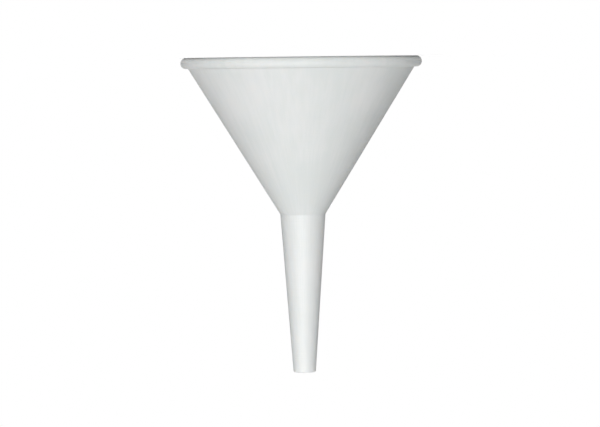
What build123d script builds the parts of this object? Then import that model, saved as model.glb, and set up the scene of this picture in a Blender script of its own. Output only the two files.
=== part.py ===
from build123d import *
from math import asin, atan2, cos, hypot, tan
import os

os.makedirs("parts", exist_ok=True)

# A conical funnel with a round bead at its rim and a tapered stem, moulded as one piece.
# It stands on its mouth: the crown of the rim is at z = 0 and the stem points up along +Z.
# Sizes are in millimetres, and every angle is measured from the funnel's axis.

# Rim
rim_diameter = 100.0  # over the bead, the widest part
bead_height = 4.5  # the bead's outside is a half circle of this diameter
bead_width = 3.7  # from the inside of the mouth out to the bead's edge
collar_height = 2.0  # the upright band just inside the mouth
crown_chamfer = 0.5  # inner edge of the crown

# Cone
cone_height = 65.2  # crown of the rim to the crease
cone_wall = 1.8
crease_diameter = 18.8  # outside, where the cone runs into the stem
crease_round = 0.3
throat_round = 5.0  # inside, where the cone runs into the bore

# Stem
stem_length = 66.0  # crease to tip
tip_diameter = 9.3
stem_wall = 1.5
tip_round = 0.4  # outer edge of the tip
bore_chamfer = 0.4  # inner edge of the tip

# What follows from those sizes
total_height = cone_height + stem_length
bead_radius = bead_height / 2
bead_centre = rim_diameter / 2 - bead_radius
mouth_radius = rim_diameter / 2 - bead_width
crease_radius = crease_diameter / 2
tip_radius = tip_diameter / 2

# The wall's inside starts at the foot of the collar and its outside ends at the crease, so the
# cone leans by the slope between those two points and by a little more for the wall between them.
collar_to_crease = (mouth_radius - crease_radius, cone_height - collar_height)
cone_angle = atan2(*collar_to_crease) + asin(cone_wall / hypot(*collar_to_crease))
cone_wall_across = cone_wall / cos(cone_angle)  # measured level, not square to the wall

# The bore runs parallel to the stem's outside.
stem_angle = atan2(crease_radius - tip_radius, stem_length)
stem_wall_across = stem_wall / cos(stem_angle)
bore_tip_radius = tip_radius - stem_wall_across

# The bore and the inside of the cone cross a little before the crease, at the throat.
throat_before_crease = (cone_wall_across - stem_wall_across) / (tan(cone_angle) - tan(stem_angle))
throat_height = cone_height - throat_before_crease
throat_radius = crease_radius + throat_before_crease * tan(stem_angle) - stem_wall_across

# The cone's outside is carried on into the bead, up to the level of the bead's middle.
cone_top_radius = crease_radius + (cone_height - bead_radius) * tan(cone_angle)


def corner(section, radius, height):
    """The corner of the section that lies nearest to a radius and a height."""
    return section.vertices().sort_by_distance((radius, height))[0]


with BuildPart() as funnel:
    # Half of the upright section, with the radius along X and the height along Z
    with BuildSketch(Plane.XZ) as section:
        with BuildLine() as wall:
            Polyline(
                (mouth_radius, 0),
                (mouth_radius, collar_height),
                (throat_radius, throat_height),
                (bore_tip_radius, total_height),
                (tip_radius, total_height),
                (crease_radius, cone_height),
                (cone_top_radius, bead_radius),
                (bead_centre, 0),
                close=True,
            )
        make_face()
        with BuildLine() as bead:
            CenterArc((bead_centre, bead_radius), bead_radius, -90, 180)
            Polyline(
                (bead_centre, bead_height),
                (mouth_radius, bead_height),
                (mouth_radius, 0),
                (bead_centre, 0),
            )
        make_face()
        chamfer(corner(section, mouth_radius, 0), crown_chamfer)
        fillet(corner(section, throat_radius, throat_height), throat_round)
        chamfer(corner(section, bore_tip_radius, total_height), bore_chamfer)
        fillet(corner(section, tip_radius, total_height), tip_round)
        fillet(corner(section, crease_radius, cone_height), crease_round)
    revolve(axis=Axis.Z)

funnel.part.label = "funnel"
export_step(funnel.part, "parts/funnel.step")
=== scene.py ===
# %% [markdown]
# # A laboratory funnel in milky polypropylene
#
# The funnel is one moulding: a cone with a round bead at its rim and a short tapered stem. It
# stands on its mouth, stem up. This first cell loads the solid model, which says where everything
# is, and notes its box. Nothing made later may reach out of that box. Blender works in metres, so
# a size in millimetres is written as a number times MM.

# %% Load the solid model
import math

import bmesh
import bpy
from mathutils import Matrix, Vector


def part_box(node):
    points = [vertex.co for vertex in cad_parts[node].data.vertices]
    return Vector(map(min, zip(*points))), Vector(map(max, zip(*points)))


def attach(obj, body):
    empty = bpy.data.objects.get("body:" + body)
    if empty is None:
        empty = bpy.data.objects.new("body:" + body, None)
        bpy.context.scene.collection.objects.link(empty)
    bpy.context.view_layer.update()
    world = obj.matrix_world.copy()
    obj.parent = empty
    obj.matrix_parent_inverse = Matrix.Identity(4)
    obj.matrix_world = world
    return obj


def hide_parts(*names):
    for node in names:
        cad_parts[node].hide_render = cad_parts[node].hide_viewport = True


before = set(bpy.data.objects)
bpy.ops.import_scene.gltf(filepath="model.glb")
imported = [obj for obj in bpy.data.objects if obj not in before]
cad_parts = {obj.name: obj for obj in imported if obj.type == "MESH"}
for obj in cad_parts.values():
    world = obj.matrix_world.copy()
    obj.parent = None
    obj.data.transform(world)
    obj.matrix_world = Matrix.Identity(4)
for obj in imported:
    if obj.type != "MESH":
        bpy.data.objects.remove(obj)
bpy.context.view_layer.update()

MM = 0.001


def in_mm(*lengths):
    """Lengths in millimetres, for the printed notes."""
    return [round(length / MM, 3) for length in lengths]


low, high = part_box("funnel")
print("funnel box in mm", in_mm(*low, *high))

# %% [markdown]
# ## Sizes
#
# The widest radius and the height are read from the solid model, so the two can't differ in size.
# The model's facets cut a little inside the true circle, so the radius is the largest one that
# stays in its box. The sizes of the section are the maker's own: the bead, the wall and the small
# edges. The leans follow from them. The cone's outside ends at the crease and its inside starts at
# the collar, one wall further in, so the cone leans more than the line from collar to crease, by
# the angle that the wall takes up.

# %% Sizes of the funnel
rim_radius = min(high.x, high.y, -low.x, -low.y)
total_height = high.z

bead_height = 4.5 * MM
bead_width = 3.7 * MM
collar_height = 2.0 * MM
cone_height = 65.2 * MM
crease_radius = 9.4 * MM
tip_radius = 4.65 * MM
cone_wall = 1.8 * MM
stem_wall = 1.5 * MM

mouth_radius = rim_radius - bead_width
collar_to_crease = (mouth_radius - crease_radius, cone_height - collar_height)
wall_angle = math.asin(cone_wall / math.hypot(*collar_to_crease))
cone_lean = math.atan2(*collar_to_crease) + wall_angle
stem_lean = math.atan2(crease_radius - tip_radius, total_height - cone_height)
leans = [round(math.degrees(lean), 2) for lean in (cone_lean, stem_lean)]
print("the cone and the stem lean, in degrees", leans)

# %% [markdown]
# ## Camera
#
# The reference shows the funnel mouth up, from the side, with the eye level with the rim: the rim
# is a straight band, and the tip, far from that level, shows a slight curve. The funnel could be
# turned over to match, but then it would hang in the air. It stands on its mouth, so the camera
# stands just above the floor, looks at the funnel's middle and is rolled by half a turn, less the
# slight tilt of the drawn rim. A long lens keeps the sides nearly parallel.

# %% Camera
def add_to_scene(data, place, ahead, roll=0.0):
    """Puts a camera or a lamp in the scene, looking ahead, and gives its object."""
    thing = bpy.data.objects.new(data.name, data)
    bpy.context.scene.collection.objects.link(thing)
    thing.location = place
    thing.rotation_mode = "QUATERNION"
    rolled = Matrix.Rotation(roll, 4, "Z").to_quaternion()
    thing.rotation_quaternion = ahead.to_track_quat("-Z", "Y") @ rolled
    return thing


eye = Vector((0.0, -1.0, 3.0 * MM))
pan, pitch, roll = (math.radians(angle) for angle in (0.069, 3.549, 179.324))
level = math.cos(pitch)
ahead = Vector((math.sin(pan) * level, math.cos(pan) * level, math.sin(pitch)))

camera_data = bpy.data.cameras.new("camera")
camera_data.lens = 144.5
camera_data.sensor_width = 36.0
camera_data.clip_start = 0.01
bpy.context.scene.camera = add_to_scene(camera_data, eye, ahead, roll)
print("camera at, in mm", in_mm(*eye), "lens", camera_data.lens)

# %% [markdown]
# ## The moulding's section
#
# A turned or moulded round part is its section swept about the axis. The spin tool could sweep a
# drawn outline. Here one circle is extruded to each corner of the section in turn and resized
# there, up the inside, over the tip and down the outside, and the last ring is bridged to the
# first. Every corner is then a ring of edges of its own, which is easy to find again and to round
# with the bevel tool. So the corners are sharp at first. Measured across the axis, the cone's wall
# is thicker than the stem's, which puts the inner corner between them, the throat, a little below
# the outer one, the crease.

# %% Corners of the section
cone_slope, stem_slope = math.tan(cone_lean), math.tan(stem_lean)
cone_wall_across = cone_wall / math.cos(cone_lean)
stem_wall_across = stem_wall / math.cos(stem_lean)
throat_drop = (cone_wall_across - stem_wall_across) / (cone_slope - stem_slope)
throat_radius = crease_radius + throat_drop * stem_slope - stem_wall_across
foot_radius = crease_radius + (cone_height - bead_height) * cone_slope

corners = {
    "mouth": (mouth_radius, 0.0),
    "collar": (mouth_radius, collar_height),
    "throat": (throat_radius, cone_height - throat_drop),
    "bore": (tip_radius - stem_wall_across, total_height),
    "tip": (tip_radius, total_height),
    "crease": (crease_radius, cone_height),
    "bead_foot": (foot_radius, bead_height),
    "bead_upper": (rim_radius, bead_height),
    "bead_lower": (rim_radius, 0.0),
}
for name, corner in corners.items():
    print(name, "radius and height in mm", in_mm(*corner))

# %% Extrude a circle from corner to corner
SEGMENTS = 240
ORIGIN = (0.0, 0.0, 0.0)

bpy.ops.object.select_all(action="DESELECT")
bpy.ops.mesh.primitive_circle_add(
    vertices=SEGMENTS, radius=mouth_radius, fill_type="NOTHING", calc_uvs=False)
funnel = bpy.context.active_object
funnel.name = "milky_funnel"

path = list(corners.values())
bpy.ops.object.mode_set(mode="EDIT")
bpy.ops.mesh.select_mode(type="EDGE")
for (old_radius, old_height), (new_radius, new_height) in zip(path, path[1:]):
    rise = (0.0, 0.0, new_height - old_height)
    growth = new_radius / old_radius
    bpy.ops.mesh.extrude_region_move(TRANSFORM_OT_translate={"value": rise})
    bpy.ops.transform.resize(value=(growth, growth, 1.0), center_override=ORIGIN)
bpy.ops.object.mode_set(mode="OBJECT")
print("rings", len(path), "vertices", len(funnel.data.vertices))

# %% Close the section with a bridge
NEAR = 0.01 * MM


def in_section(vertex):
    """Where a point lies in the section: its distance from the axis and its height."""
    return math.hypot(vertex.co.x, vertex.co.y), vertex.co.z


def select_rings(*names):
    """Selects the ring of edges at each named corner of the section, and nothing else."""
    bpy.ops.mesh.select_all(action="DESELECT")
    mesh = bmesh.from_edit_mesh(funnel.data)
    places = [corners[name] for name in names]
    for edge in mesh.edges:
        ends = [in_section(vertex) for vertex in edge.verts]
        if any(all(math.dist(end, place) < NEAR for end in ends) for place in places):
            edge.select_set(True)
    mesh.select_flush_mode()
    bmesh.update_edit_mesh(funnel.data)
    return sum(edge.select for edge in mesh.edges)


bpy.ops.object.mode_set(mode="EDIT")
found = select_rings("mouth", "bead_lower")
bpy.ops.mesh.bridge_edge_loops()
print("edges bridged", found)

# %% [markdown]
# ## Rounding the corners
#
# Every corner of a moulding is a little round, and each catches light in its own way, which is
# what makes an edge look real. The rounds could be drawn into the section point by point, but with
# the bevel tool each is one radius and a number of steps. The bead is the same thing at a larger
# size: its two outer corners are rounded by half its height, so that the two rounds meet in a half
# circle. The tool asks how far each round reaches along its walls, and that follows from its
# radius and from the turn of the corner.

# %% Round each corner by its own radius
rounds = (
    (("bead_upper", "bead_lower"), bead_height / 2, 14),
    (("mouth",), 0.5 * MM, 6),
    (("collar",), 0.6 * MM, 3),
    (("throat",), 5.0 * MM, 8),
    (("bore",), 0.4 * MM, 5),
    (("tip",), 0.4 * MM, 6),
    (("crease",), 0.3 * MM, 4),
    (("bead_foot",), 0.35 * MM, 5),
)


def reach(name, round_radius):
    """How far a corner's round reaches along the walls on its two sides."""
    names = list(corners)
    at = names.index(name)
    before, here, after = (Vector(corners[names[(at + step) % len(names)]]) for step in (-1, 0, 1))
    turn = (here - before).angle(after - here)
    return round_radius * math.tan(turn / 2)


for names, round_radius, steps in rounds:
    select_rings(*names)
    offset = reach(names[0], round_radius)
    bpy.ops.mesh.bevel(offset=offset, segments=steps, profile=0.5, clamp_overlap=False)
    print("rounded", *names, "reach in mm", in_mm(offset))

# %% Merge the bead's two rounds and face outwards
bpy.ops.mesh.select_all(action="SELECT")
bpy.ops.mesh.remove_doubles(threshold=NEAR)
bpy.ops.mesh.normals_make_consistent(inside=False)
bpy.ops.object.mode_set(mode="OBJECT")
print("vertices", len(funnel.data.vertices), "faces", len(funnel.data.polygons))

# %% [markdown]
# ## Smooth faces, and a check against the solid
#
# The moulding is smooth all round, so every face is shaded smooth. A plain average of the faces
# would tilt the shading where a long cone face meets the small faces of a rounded corner. The
# Weighted Normal modifier lets the large faces decide there. Then the piece is compared with the
# solid that it stands for: how large it is, and how far its points lie from the solid's surface.

# %% Shade smooth and compare with the solid
LARGEST_FACES_ONLY = 100

bpy.ops.object.shade_smooth()
weighting = funnel.modifiers.new("large faces decide", "WEIGHTED_NORMAL")
weighting.weight = LARGEST_FACES_ONLY
bpy.ops.object.modifier_apply(modifier=weighting.name)

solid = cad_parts["funnel"]
gaps = []
for vertex in funnel.data.vertices:
    _, nearest, _, _ = solid.closest_point_on_mesh(vertex.co)
    gaps.append((vertex.co - nearest).length)
print("size in mm", in_mm(*funnel.dimensions))
print("largest distance from the solid in mm", in_mm(max(gaps)))

# %% [markdown]
# ## The surface laid out flat
#
# A UV map says where each point of the surface lies on a flat sheet, and a finish that is baked to
# a picture is painted on that sheet. An automatic unwrap would cut a cone into curved patches. The
# funnel is one section swept round, so its sheet can be a plain rectangle: the way round the axis
# runs along it, and the way along the section runs up it, as the label of a can is rolled off. It
# has one cut along the section and one round the bead's foot, and no point is used twice. The map
# is named OFBake.

# %% Walk once round the section
mesh = bmesh.new()
mesh.from_mesh(funnel.data)
seam = [v for v in mesh.verts if v.co.x > 0 and abs(v.co.y) < NEAR]
section = [min(seam, key=lambda v: math.dist(in_section(v), corners["bead_foot"]))]
while len(section) < len(seam):
    beside = [edge.other_vert(section[-1]) for edge in section[-1].link_edges]
    onward = [v for v in beside if v in seam and v not in section]
    section.append(max(onward, key=lambda v: v.co.x))

along = [0.0]
for first, second in zip(section, section[1:] + section[:1]):
    along.append(along[-1] + (second.co - first.co).length)
print("points in the section", len(section), "way round it in mm", in_mm(along[-1]))

# %% Roll the surface off as one rectangle
HALF_SHEET = 0.5

rings_at = [in_section(v) for v in section]


def turn_and_way(vertex):
    """How far round the axis and how far along the section a point lies, each from 0 to 1."""
    step = round(math.atan2(-vertex.co.y, vertex.co.x) / math.tau * SEGMENTS) % SEGMENTS
    here = in_section(vertex)
    ring = min(range(len(rings_at)), key=lambda i: math.dist(rings_at[i], here))
    return step / SEGMENTS, along[ring] / along[-1]


def past_the_cut(values):
    """Lifts the low ends of a face that spans a cut to beyond the sheet's far edge."""
    spans = max(values) - min(values) > HALF_SHEET
    return [value + (spans and value < HALF_SHEET) for value in values]


flat_places = {vertex: turn_and_way(vertex) for vertex in mesh.verts}
sheet_map = mesh.loops.layers.uv.new("OFBake")
for face in mesh.faces:
    turns, ways = zip(*(flat_places[loop.vert] for loop in face.loops))
    for loop, turn, way in zip(face.loops, past_the_cut(turns), past_the_cut(ways)):
        loop[sheet_map].uv = (turn, way)
mesh.to_mesh(funnel.data)
mesh.free()
print("maps on the funnel", [layer.name for layer in funnel.data.uv_layers])

# %% [markdown]
# ## Shader maths as plain sums
#
# A finish is a net of nodes. Wired by hand it is slow to write and hard to read, so a small class
# wraps a node's output, and a sum on it adds the Math node that the sum needs.

# %% A field: what a node gives
class Field:
    """A value or colour that changes over a surface: the output of a node."""

    def __init__(self, finish, socket):
        self.finish = finish
        self.socket = socket

    def output(self, name):
        """Another output of the same node."""
        return Field(self.finish, self.socket.node.outputs[name])

    def __add__(self, other):
        return self.finish.maths("ADD", self, other)

    def __sub__(self, other):
        return self.finish.maths("SUBTRACT", self, other)

    def __rsub__(self, other):
        return self.finish.maths("SUBTRACT", other, self)

    def __mul__(self, other):
        return self.finish.maths("MULTIPLY", self, other)

    def __truediv__(self, other):
        return self.finish.maths("DIVIDE", self, other)

    def __rtruediv__(self, other):
        return self.finish.maths("DIVIDE", other, self)

    __radd__ = __add__
    __rmul__ = __mul__


print("sums on fields: + - * /")

# %% [markdown]
# ## A finish and its nodes
#
# The second class holds the nodes of one material. One method adds any node: its kind, its
# settings, and what goes into its sockets. The others are the few nodes that come up again and
# again here: soft noise, a soft ramp and a mix of two colours.

# %% A finish: the nodes of a material
class Finish:
    """The nodes of a material or of the world."""

    def __init__(self, tree):
        self.tree = tree
        tree.nodes.clear()

    def node(self, kind, settings=None, sockets=None, output=0):
        """Adds a node and gives one of its outputs, or the node itself if it has none."""
        made = self.tree.nodes.new(kind)
        for name, value in (settings or {}).items():
            setattr(made, name, value)
        for name, value in (sockets or {}).items():
            if isinstance(value, Field):
                self.tree.links.new(value.socket, made.inputs[name])
            else:
                made.inputs[name].default_value = value
        return Field(self, made.outputs[output]) if len(made.outputs) else made

    def maths(self, operation, *values):
        """One Math node on fields and numbers."""
        return self.node("ShaderNodeMath", {"operation": operation}, dict(enumerate(values)))

    def noise(self, vector, size, detail=2.0, roughness=0.5):
        """Soft random blotches from 0 to 1, each about as large as size."""
        return self.node("ShaderNodeTexNoise", {}, {
            "Vector": vector, "Scale": 1 / size, "Detail": detail, "Roughness": roughness})

    def ramp(self, value, start, end):
        """Goes smoothly from 0 to 1 while the value goes from start to end."""
        return self.node("ShaderNodeMapRange", {"interpolation_type": "SMOOTHSTEP"}, {
            "Value": value, "From Min": start, "From Max": end})

    def blend(self, factor, first, second):
        """Mixes two colours, through the Mix node's own sockets for colours."""
        colours = {0: factor, 6: first, 7: second}
        return self.node("ShaderNodeMix", {"data_type": "RGBA"}, colours, output=2)


print("ready-made nodes: maths, noise, ramp, blend")

# %% [markdown]
# ## Milky polypropylene
#
# The funnel is moulded from polypropylene with no pigment. It is a milky white with a breath of
# green, because light goes a little way in, is scattered and comes out again: that is subsurface
# scattering, and it makes the thin stem look lighter and softer than a painted one. Paint would be
# one flat tone. This plastic is a little cloudy, and it is faintly streaked from tip to rim, the
# way it flowed into the mould. Noise that is only stretched upwards would break up on the slanted
# cone, where a step down the wall is also a step outwards. So the streaks are noise over the
# direction from the axis, and they run along every wall.

# %% Where a point lies on the funnel
material = bpy.data.materials.new("milky_polypropylene")
material.use_nodes = True
milky = Finish(material.node_tree)

place = milky.node("ShaderNodeTexCoord", output="Object")
x = milky.node("ShaderNodeSeparateXYZ", {}, {"Vector": place})
y, z = x.output("Y"), x.output("Z")
from_axis = milky.maths("SQRT", x * x + y * y)
print("nodes so far", len(milky.tree.nodes))

# %% Clouds and flow streaks
STREAK_TURN = 0.055
STREAK_LENGTH = 13.75 * MM
CLEARER = (0.825, 0.855, 0.842, 1.0)
MILKIER = (0.893, 0.905, 0.896, 1.0)

flow = milky.node("ShaderNodeCombineXYZ", {}, {
    "X": x / from_axis, "Y": y / from_axis, "Z": z * (STREAK_TURN / STREAK_LENGTH)})
cloud = milky.noise(place, 38 * MM, detail=3.0)
streak = milky.noise(flow, STREAK_TURN, detail=4.0, roughness=0.6)
milkiness = milky.ramp(0.6 * cloud + 0.4 * streak, 0.35, 0.65)
colour = milky.blend(milkiness, CLEARER, MILKIER)
print("a streak turns by", STREAK_TURN, "radians and is in mm", in_mm(STREAK_LENGTH), "long")

# %% [markdown]
# ## What the mould leaves on the surface
#
# The two halves of the mould were turned on a lathe and then blasted, and the plastic takes a
# print of that: rings round the axis, fine ones and broad ones, and a satin grain over all. They
# met at the widest part of the bead, where a hair of plastic crept between them and left a thin
# line. Thick plastic also sinks a little as it cools, which makes the reflections waver. All of it
# is far too fine for the mesh, so it is a bump, with every height written in millimetres. A ring
# is a blotch of noise that is drawn out across the axis, some thirty times, until it runs round.

# %% Rings, grain and sinking
DRAWN_OUT = (0.03, 0.03, 1.0)

ringed = milky.node("ShaderNodeVectorMath", {"operation": "MULTIPLY"}, {0: place, 1: DRAWN_OUT})
fine_rings = milky.noise(ringed, 0.9 * MM, detail=3.0, roughness=0.6)
broad_rings = milky.noise(ringed, 5.0 * MM, detail=1.0)
grain = milky.noise(place, 0.35 * MM, detail=2.0)
sinking = milky.noise(place, 14 * MM, detail=1.0)
turned = 0.085 * fine_rings + 0.17 * broad_rings
mould_print = turned + 0.025 * grain + 0.25 * sinking + 0.04 * streak
print("nodes so far", len(milky.tree.nodes))

# %% Parting line
line_half_width = 0.14 * MM
line_top_half_width = 0.03 * MM

from_middle = milky.maths("ABSOLUTE", z - bead_height / 2)
outer_half = milky.ramp(from_axis, rim_radius - 1.0 * MM, rim_radius - 0.5 * MM)
parting_line = milky.ramp(from_middle, line_half_width, line_top_half_width) * outer_half
print("parting line's width in mm", in_mm(2 * line_half_width))

# %% [markdown]
# ## Rubbed rim, trimmed tip
#
# A used funnel dulls first where it is handled and stood down: on the crown of the rim. The
# plastic came in at the tip, and its gate was cut off there, so the tip's face is torn and duller.
# Both could be painted on by hand. Here they are places along the axis, so they stay where they
# belong if a size changes, with a little noise so that they don't look masked.

# %% Wear and the cut gate
scuff = milky.ramp(milky.noise(place, 2.5 * MM, detail=6.0, roughness=0.7), 0.48, 0.62)
crown = milky.ramp(z, 1.1 * MM, 0.2 * MM)
trimmed = milky.ramp(z, total_height - 0.35 * MM, total_height - 0.1 * MM)
torn = milky.noise(place, 0.7 * MM, detail=3.0) * trimmed
print("nodes so far", len(milky.tree.nodes))

# %% [markdown]
# ## The finish put together
#
# The fields come together in three places: the colour, the roughness and the relief, which is a
# bump on the normal. They could each go into many more of the shader's sockets, but these three
# are what a model viewer can show too, as pictures baked from the fields. What is the same
# everywhere, such as how strongly the plastic bends and scatters light, is a plain number.

# %% Satin, relief and scattering
satin = 0.36 + 0.06 * cloud + 0.06 * streak + 0.03 * fine_rings
roughness = satin + 0.12 * (crown * scuff) + 0.14 * trimmed
height = mould_print + 0.06 * parting_line + 0.05 * torn
relief = milky.node("ShaderNodeBump", {}, {"Height": height, "Strength": 1.0, "Distance": 1 * MM})

surface = milky.node("ShaderNodeBsdfPrincipled", {}, {
    "Base Color": colour,
    "Roughness": roughness,
    "Normal": relief,
    "IOR": 1.49,
    "Subsurface Weight": 0.6,
    "Subsurface Radius": (1.0, 0.93, 0.86),
    "Subsurface Scale": 1.5 * MM,
})
milky.node("ShaderNodeOutputMaterial", {}, {"Surface": surface})
funnel.data.materials.append(material)
print("finish", material.name, "nodes", len(milky.tree.nodes))

# %% [markdown]
# ## Floor and background
#
# The reference is plain white all round. A floor lit until it is white would throw that light onto
# the funnel too. So the floor is a wide pale sheet that the lamps bring to about half of white,
# and the camera alone sees it at twice that: white where nothing shades it, with the funnel's
# shadow in its true proportion. Further out it turns to plain white, again for the camera alone,
# so it has no edge against the background. The world does the same: the camera sees white, and
# everything else sees a dim room. Nothing here is metal or glass, so no reflection has to show
# that white, and the funnel keeps the tones that the lamps give it. The Standard view shows those
# tones as they are, where the usual one would grey the white.

# %% Floor
WHITE = (1.0, 1.0, 1.0, 1.0)
PALE = (0.76, 0.76, 0.76, 1.0)
FLOOR_RADIUS = 4.0
FLOOR_CORNERS = 96

bpy.ops.object.select_all(action="DESELECT")
bpy.ops.mesh.primitive_circle_add(
    vertices=FLOOR_CORNERS, radius=FLOOR_RADIUS, fill_type="NGON", location=ORIGIN)
floor = bpy.context.active_object
floor.name = "floor"

floor_material = bpy.data.materials.new("white_floor")
floor_material.use_nodes = True
ground = Finish(floor_material.node_tree)
spot = ground.node("ShaderNodeTexCoord", output="Object")
away = ground.node("ShaderNodeVectorMath", {"operation": "LENGTH"}, {0: spot}, output="Value")
to_camera = ground.node("ShaderNodeLightPath", output="Is Camera Ray")
lit = ground.node("ShaderNodeBsdfDiffuse", {}, {"Color": PALE})
twice = ground.node("ShaderNodeAddShader", {}, {0: lit, 1: lit})
beside = ground.node("ShaderNodeMixShader", {}, {0: to_camera, 1: lit, 2: twice})
plain = ground.node("ShaderNodeEmission", {}, {"Color": WHITE, "Strength": 1.0})
further_out = ground.ramp(away, rim_radius + 5 * MM, rim_radius + 60 * MM)
sheet = ground.node("ShaderNodeMixShader", {}, {0: to_camera * further_out, 1: beside, 2: plain})
ground.node("ShaderNodeOutputMaterial", {}, {"Surface": sheet})
floor.data.materials.append(floor_material)
print("floor's width in metres", 2 * FLOOR_RADIUS, "nodes", len(ground.tree.nodes))

# %% Background
ROOM_LIGHT = 0.14

world = bpy.data.worlds.new("studio")
world.use_nodes = True
bpy.context.scene.world = world
studio = Finish(world.node_tree)
to_camera = studio.node("ShaderNodeLightPath", output="Is Camera Ray")
room = studio.node("ShaderNodeBackground", {}, {"Color": WHITE, "Strength": ROOM_LIGHT})
backdrop = studio.node("ShaderNodeBackground", {}, {"Color": WHITE, "Strength": 1.0})
all_round = studio.node("ShaderNodeMixShader", {}, {0: to_camera, 1: room, 2: backdrop})
studio.node("ShaderNodeOutputWorld", {}, {"Surface": all_round})
bpy.context.scene.view_settings.view_transform = "Standard"
print("the room is lit at", ROOM_LIGHT, "of white")

# %% [markdown]
# ## Lamps
#
# Large soft lamps, as in a product studio, so that none is mirrored along the cone as a glaring
# patch. The main one is on the camera's side, low and a little off its line. Low light falls
# square on the upright bead and stem and at a slant on the cone, so both stand out from the cone
# by a tone. One lamp hangs overhead, and one stands behind for the views from there. The funnel's
# sides turn away from all three and darken, which draws its outline against the white. A lamp
# behind would also be mirrored along those sides, because any smooth surface mirrors what lies
# straight past its edge. That would wash the outline out, so that one lamp lights the funnel
# without being mirrored. For each lamp the list gives its place, width and depth in metres, and
# its power in watts.

# %% Lamps
lamps = {
    "main": ((0.2, -1.4, 0.35), 1.6, 0.66, 16.5),
    "overhead": ((0.0, 0.35, 1.4), 1.2, 1.2, 5.5),
    "behind": ((0.0, 1.4, 0.6), 0.9, 0.9, 10.5),
}
middle = Vector((0.0, 0.0, total_height / 2))
for name, (where, width, depth, power) in lamps.items():
    lamp_data = bpy.data.lights.new(name, "AREA")
    lamp_data.shape = "RECTANGLE"
    lamp_data.size = width
    lamp_data.size_y = depth
    lamp_data.energy = power
    lamp = add_to_scene(lamp_data, where, middle - Vector(where))
    lamp.visible_glossy = name != "behind"
    print("lamp", name, "watts", power)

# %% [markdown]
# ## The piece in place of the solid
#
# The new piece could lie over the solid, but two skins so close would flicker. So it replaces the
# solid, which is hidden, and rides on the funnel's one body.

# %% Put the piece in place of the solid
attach(funnel, "root")
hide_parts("funnel")
